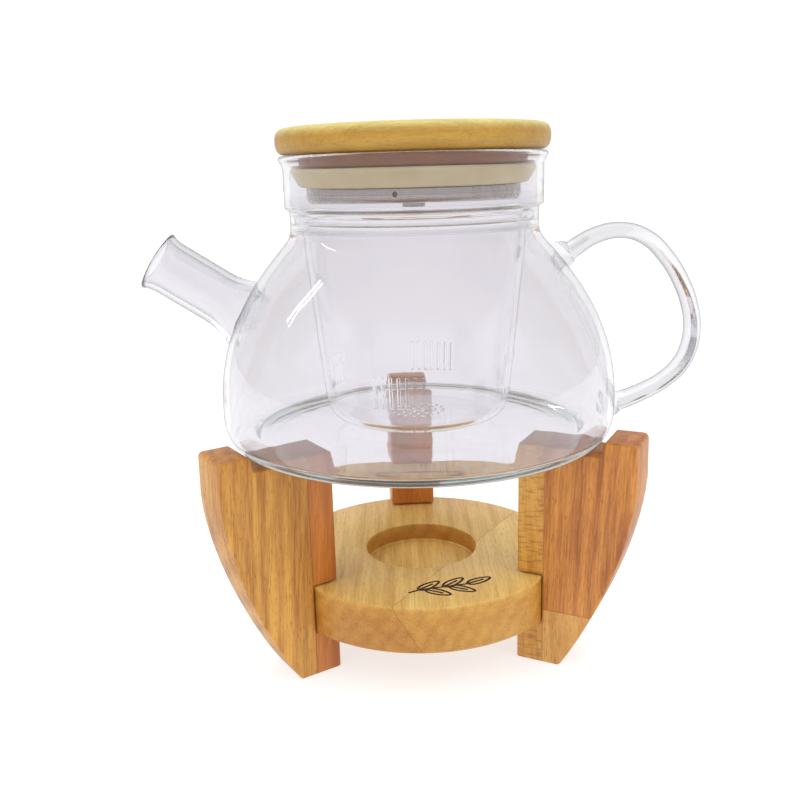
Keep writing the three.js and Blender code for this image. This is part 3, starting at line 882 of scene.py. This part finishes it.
# A flattened rod along a smooth route in the plane of the spout.
def makeHandleRod():
    deselectAll()
    bpy.ops.curve.primitive_bezier_circle_add(radius=1)
    section = bpy.context.object
    section.scale = (handle["width"] / 2 * mm, handle["thickness"] / 2 * mm, 1)
    makeActive(section)
    bpy.ops.object.transform_apply(location=True, rotation=True, scale=True)
    section.data.resolution_u = 8
    curve = bpy.data.curves.new("handleRoute", "CURVE")
    curve.dimensions = "3D"
    curve.resolution_u = 6
    curve.bevel_mode = "OBJECT"
    curve.bevel_object = section
    curve.use_fill_caps = True
    spline = curve.splines.new("BEZIER")
    spline.bezier_points.add(len(handle["route"]) - 1)
    for point, (x, z) in zip(spline.bezier_points, handle["route"]):
        point.co = (axisX + x * mm, axisY, glassFoot + z * mm)
        point.handle_left_type = "AUTO"
        point.handle_right_type = "AUTO"
    for index, share in handle["swell"]:
        spline.bezier_points[index].radius = share
    rod = bpy.data.objects.new("handleRod", curve)
    bpy.context.scene.collection.objects.link(rod)
    makeActive(rod)
    bpy.ops.object.convert(target="MESH")
    rod = bpy.context.object
    bpy.data.objects.remove(section)
    closeUp(rod)
    return rod


def makeWeld(x, z):
    deselectAll()
    bpy.ops.mesh.primitive_uv_sphere_add(segments=40, ring_count=24, radius=handle["weld"] * mm)
    weld = bpy.context.object
    weld.scale = (0.75, 0.95, 0.75)
    weld.location = (axisX + x * mm, axisY, glassFoot + z * mm)
    return settle(weld, "weld")


shell = makeShell()
spoutSolid = combine(makeSpoutSolid(), makeFilling(), "DIFFERENCE")
rod = makeHandleRod()
for x, z in handle["ends"]:
    combine(rod, makeWeld(x, z), "UNION")
combine(rod, makeFilling(), "DIFFERENCE")
combine(shell, spoutSolid, "UNION")
combine(shell, rod, "UNION")
combine(shell, makeSpoutBore(), "DIFFERENCE")
giveMaterial(shell, potGlass)
smooth(shell, 40)
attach(shell, "pot")
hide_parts("glass_body", "spout", "handle")
print("pot glass ready", len(shell.data.vertices))


# ---- infuser ----

infuser = {"rim": 41.9, "top": 39.6, "low": 33.8, "wall": 1.8, "floor": 5.6, "corner": 10,
           "rimHeight": 2.7, "gap": 0.3, "sides": 128}
slits = {"groups": 4, "each": 7, "pitch": 4.7, "first": -26, "width": 1.0, "low": 16, "high": 27}
holes = {"rings": 3, "pitch": 3.1, "radius": 0.65}


def infuserPath(inset):
    top, low, corner, floor = infuser["top"], infuser["low"], infuser["corner"], infuser["floor"] + inset
    start = (low - corner, floor)
    turn = (low - inset, infuser["floor"] + corner)
    path = [start] + curvePoints(start, (low - 3.5, floor), (low - inset - 0.9, floor + 3.5), turn, 10)
    wallTop = (top - inset, pot["shelf"] - 1.5)
    for step in range(1, 9):
        t = step / 8
        path.append((turn[0] + (wallTop[0] - turn[0]) * t, turn[1] + (wallTop[1] - turn[1]) * t))
    return path


def makeInfuser():
    rim, top, wall = infuser["rim"], infuser["top"], infuser["wall"]
    low = pot["shelf"] + infuser["gap"]
    high = low + infuser["rimHeight"]
    rings = [(10, infuser["floor"])] + infuserPath(0)
    rings += [(top + 0.1, low - 0.6), (top + 0.4, low), (rim - 0.4, low), (rim - 0.1, low + 0.15),
              (rim, low + 0.5), (rim, high - 0.5), (rim - 0.15, high - 0.15), (rim - 0.5, high),
              (top, high), (top - 0.9, high - 0.3), (top - wall + 0.1, high - 1.1)]
    rings += infuserPath(wall)[::-1] + [(10, infuser["floor"] + wall)]
    return turnRings("infuserPiece", rings, infuser["sides"], foot=glassFoot)


# One slit is modelled, then copied round the axis.
def makeSlitTool():
    deselectAll()
    start = -90 + slits["first"]
    middle = (slits["low"] + slits["high"]) / 2
    bpy.ops.mesh.primitive_cube_add(size=1, location=potPoint(infuser["low"], start, middle))
    tool = bpy.context.object
    tool.scale = (8 * mm, slits["width"] * mm, (slits["high"] - slits["low"]) * mm)
    tool.rotation_euler = (0, 0, math.radians(start))
    settle(tool, "slitTool")
    bpy.ops.object.mode_set(mode="EDIT")
    copies = slits["each"] - 1
    groups = slits["groups"] - 1
    for steps, angle in ((copies, -slits["pitch"] * copies), (groups, 360 * groups / slits["groups"])):
        bpy.ops.mesh.select_all(action="SELECT")
        bpy.ops.mesh.spin(steps=steps, dupli=True, angle=math.radians(angle),
                          center=(axisX, axisY, 0), axis=(0, 0, 1))
    bpy.ops.object.mode_set(mode="OBJECT")
    closeUp(tool)
    return tool


def makeHoleTool():
    tools = []
    for ring in range(holes["rings"] + 1):
        count = max(1, 6 * ring)
        for index in range(count):
            deselectAll()
            bpy.ops.mesh.primitive_cylinder_add(
                vertices=12, radius=holes["radius"] * mm, depth=8 * mm,
                location=potPoint(ring * holes["pitch"], 360 * index / count, infuser["floor"]))
            tools.append(bpy.context.object)
    deselectAll()
    for tool in tools:
        tool.select_set(True)
    bpy.context.view_layer.objects.active = tools[0]
    bpy.ops.object.join()
    return settle(tools[0], "holeTool")


infuserPiece = makeInfuser()
combine(infuserPiece, makeSlitTool(), "DIFFERENCE")
combine(infuserPiece, makeHoleTool(), "DIFFERENCE")
giveMaterial(infuserPiece, infuserGlass)
smooth(infuserPiece, 40)
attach(infuserPiece, "infuser")
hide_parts("infuser")
print("infuser ready", len(infuserPiece.data.vertices))


# ---- lid ----

lid = {"radius": 47.4, "boss": 39.6, "core": 36.3, "shoulder": 95, "edge": 3.6, "under": 99.4,
       "top": 108.19, "coreLow": 84.9, "screwHole": 2.2, "sides": 144}
seal = {"inner": 36.6, "low": 88.3, "high": 94.7, "outer": 39.6, "lip": 42.5, "sides": 128}
cup = {"radius": 37.4, "sheet": 0.7, "low": 83.9, "high": 88.0, "hub": 2.2, "vent": 0.8,
       "ventTurn": -100, "ventRise": 0.4, "sides": 128}


def makeLidTop():
    r, edge, under, top = lid["radius"], lid["edge"], lid["under"], lid["top"]
    core, boss, shoulder, low = lid["core"], lid["boss"], lid["shoulder"], lid["coreLow"]
    middle = (under + top) / 2
    rings = [(18, low), (core - 0.6, low), (core, low + 0.6), (core, shoulder - 0.2),
             (core + 0.2, shoulder), (boss - 0.6, shoulder), (boss - 0.15, shoulder + 0.15),
             (boss, shoulder + 0.6), (boss, under - 0.2), (boss + 0.2, under), (r - edge, under)]
    rings += curvePoints((r - edge, under), (r - 1, under), (r, under + 1.5), (r, middle), 7)
    rings += curvePoints((r, middle), (r, top - 1.5), (r - 1, top), (r - edge, top), 7)
    rings += [(r * 0.6, top), (r * 0.25, top)]
    piece = turnRings("lidPiece", rings, lid["sides"], foot=glassFoot)
    deselectAll()
    bpy.ops.mesh.primitive_cylinder_add(vertices=24, radius=lid["screwHole"] * mm, depth=12 * mm,
                                        location=potPoint(0, 0, low + 5))
    combine(piece, bpy.context.object, "DIFFERENCE")
    return piece


def makeSeal():
    inner, low, high, outer, lip = seal["inner"], seal["low"], seal["high"], seal["outer"], seal["lip"]
    rings = [(inner, low), (outer - 0.3, low), (outer, low + 0.1), (outer + 0.4, low + 0.35),
             (outer + 0.65, low + 0.8)]
    rings += curvePoints((outer + 0.65, low + 0.8), (outer + 1.5, low + 2.2), (lip - 0.9, high - 2.8),
                         (lip - 0.25, high - 1.7), 6)
    rings += [(lip - 0.03, high - 1.2), (lip, high - 0.6), (lip - 0.1, high - 0.25), (lip - 0.4, high),
              (outer + 1.2, high - 0.1), (outer - 0.8, high - 0.4), (inner, high - 0.4), (inner, low)]
    return turnRings("sealPiece", rings, seal["sides"], foot=glassFoot, hollow=True)


def makeSteelCup():
    r, sheet, low, high, hub = cup["radius"], cup["sheet"], cup["low"], cup["high"], cup["hub"]
    rings = [(hub, low), (14, low), (r - 2.4, low)]
    rings += curvePoints((r - 2.4, low), (r - 0.9, low), (r, low + 0.9), (r, low + 2), 6)
    rings += [(r, high - 0.15), (r - 0.15, high), (r - sheet + 0.15, high), (r - sheet, high - 0.15)]
    rings += [(r - sheet, low + 2)]
    rings += curvePoints((r - sheet, low + 2), (r - sheet, low + 1.2), (r - 1.5, low + sheet),
                         (r - 2.4, low + sheet), 4)
    rings += [(14, low + sheet), (hub, low + sheet), (hub, low)]
    piece = turnRings("cupPiece", rings, cup["sides"], foot=glassFoot, hollow=True)
    turn = cup["ventTurn"]
    deselectAll()
    bpy.ops.mesh.primitive_cylinder_add(
        vertices=24, radius=cup["vent"] * mm, depth=6 * mm,
        rotation=(math.pi / 2, 0, math.radians(turn + 90)),
        location=potPoint(r, turn, (low + high) / 2 + cup["ventRise"]))
    combine(piece, bpy.context.object, "DIFFERENCE")
    return piece


lidPieces = [
    (makeLidTop(), "lid_top", lidBamboo, "lid_wood", 30),
    (makeSeal(), "seal_ring", silicone, "silicone", 45),
    (makeSteelCup(), "steel_cup", cupSteel, "steel", 35)]
for piece, node, material, slotName, angle in lidPieces:
    giveMaterial(piece, material)
    smooth(piece, angle)
    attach(piece, "lid")
    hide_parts(node)
giveMaterial(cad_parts["lid_screw"], screwSteel)
print("lid ready")


# ---- floor, light and camera ----

def makeFloor():
    deselectAll()
    bpy.ops.mesh.primitive_plane_add(size=16, location=(0, 0, 0))
    floor = bpy.context.object
    floor.name = "studioFloor"
    material, tree, shader = newMaterial("paleFloor")
    place = addNode(tree, "ShaderNodeTexCoord", (-600, 0))
    clouds = noiseNode(tree, place.outputs["Object"], 3, 2, (-400, 0))
    colour = mixColours(tree, (-100, 0), clouds, (0.42, 0.42, 0.42, 1), (0.38, 0.38, 0.38, 1))
    tree.links.new(colour, shader.inputs["Base Color"])
    shader.inputs["Roughness"].default_value = 0.9
    shader.inputs["Emission Color"].default_value = (1, 1, 1, 1)
    shader.inputs["Emission Strength"].default_value = 0.68
    giveMaterial(floor, material)


# A bright room: white ahead and above, dimmer behind the camera and low at the sides.
room = {"ahead": 1.0, "behind": 0.75, "side": 0.6, "seen": 1.04}


def makeRoom():
    world = bpy.data.worlds.new("brightRoom")
    bpy.context.scene.world = world
    world.use_nodes = True
    tree = world.node_tree
    background = tree.nodes["Background"]
    place = addNode(tree, "ShaderNodeTexCoord", (-1200, 0))
    parts = addNode(tree, "ShaderNodeSeparateXYZ", (-1000, 0))
    tree.links.new(place.outputs["Generated"], parts.inputs[0])
    depth = rangeNode(tree, (-800, 100), parts.outputs[1], -0.5, 0.45, room["behind"], room["ahead"])
    side = rangeNode(tree, (-800, -150), mathNode(tree, "ABSOLUTE", (-900, -150), parts.outputs[0]),
                     0.6, 0.95, 1.0, room["side"])
    lit = mathNode(tree, "MULTIPLY", (-600, 0), depth, side)
    high = rangeNode(tree, (-800, -400), parts.outputs[2], 0.45, 0.85)
    level = addNode(tree, "ShaderNodeMix", (-400, 0))
    tree.links.new(high, level.inputs[0])
    tree.links.new(lit, level.inputs[2])
    level.inputs[3].default_value = 1.0
    rays = addNode(tree, "ShaderNodeLightPath", (-600, 400))
    seen = addNode(tree, "ShaderNodeMix", (-200, 0))
    tree.links.new(rays.outputs["Is Camera Ray"], seen.inputs[0])
    tree.links.new(level.outputs[0], seen.inputs[2])
    seen.inputs[3].default_value = room["seen"]
    background.inputs["Color"].default_value = (0.985, 0.99, 1.0, 1)
    tree.links.new(seen.outputs[0], background.inputs["Strength"])


# Only the narrow window lamp shows as a streak in the glass. The others light the wood.
lamps = [
    {"name": "windowLeft", "at": (-0.66, 0.07, 0.615), "size": (0.02, 0.26), "watts": 0.3, "seen": True},
    {"name": "softLeft", "at": (-0.8, -0.6, 0.8), "size": (0.8, 0.8), "watts": 3.4, "seen": False},
    {"name": "softRight", "at": (0.8, -0.5, 0.7), "size": (0.7, 0.7), "watts": 2.6, "seen": False},
    {"name": "overhead", "at": (0.0, 0.1, 1.2), "size": (1.0, 1.0), "watts": 4.6, "seen": False}]


def makeLamps():
    aim = Vector((0, 0, 0.09))
    for lamp in lamps:
        light = bpy.data.lights.new(lamp["name"], "AREA")
        light.shape = "RECTANGLE"
        light.size, light.size_y = lamp["size"]
        light.energy = lamp["watts"]
        holder = bpy.data.objects.new(lamp["name"], light)
        holder.location = lamp["at"]
        holder.visible_glossy = lamp["seen"]
        holder.visible_transmission = lamp["seen"]
        holder.rotation_euler = (aim - Vector(lamp["at"])).to_track_quat("-Z", "Y").to_euler()
        bpy.context.scene.collection.objects.link(holder)


view = {"at": (-0.00948, -0.33025, 0.1745), "down": 0.2512, "roll": 0.0268, "lens": 40.5}


def makeCamera():
    camera = bpy.data.cameras.new("frontCamera")
    camera.lens = view["lens"]
    camera.sensor_width = 36
    camera.clip_start = 0.01
    holder = bpy.data.objects.new("frontCamera", camera)
    holder.matrix_world = (Matrix.Translation(view["at"])
                           @ Matrix.Rotation(math.pi / 2 - view["down"], 4, "X")
                           @ Matrix.Rotation(-view["roll"], 4, "Z"))
    bpy.context.scene.collection.objects.link(holder)
    bpy.context.scene.camera = holder


makeFloor()
makeRoom()
makeLamps()
makeCamera()
scene = bpy.context.scene
scene.view_settings.view_transform = "Standard"
scene.cycles.max_bounces = 32
scene.cycles.transmission_bounces = 28
scene.cycles.glossy_bounces = 28
scene.cycles.transparent_max_bounces = 24
print("stage ready")
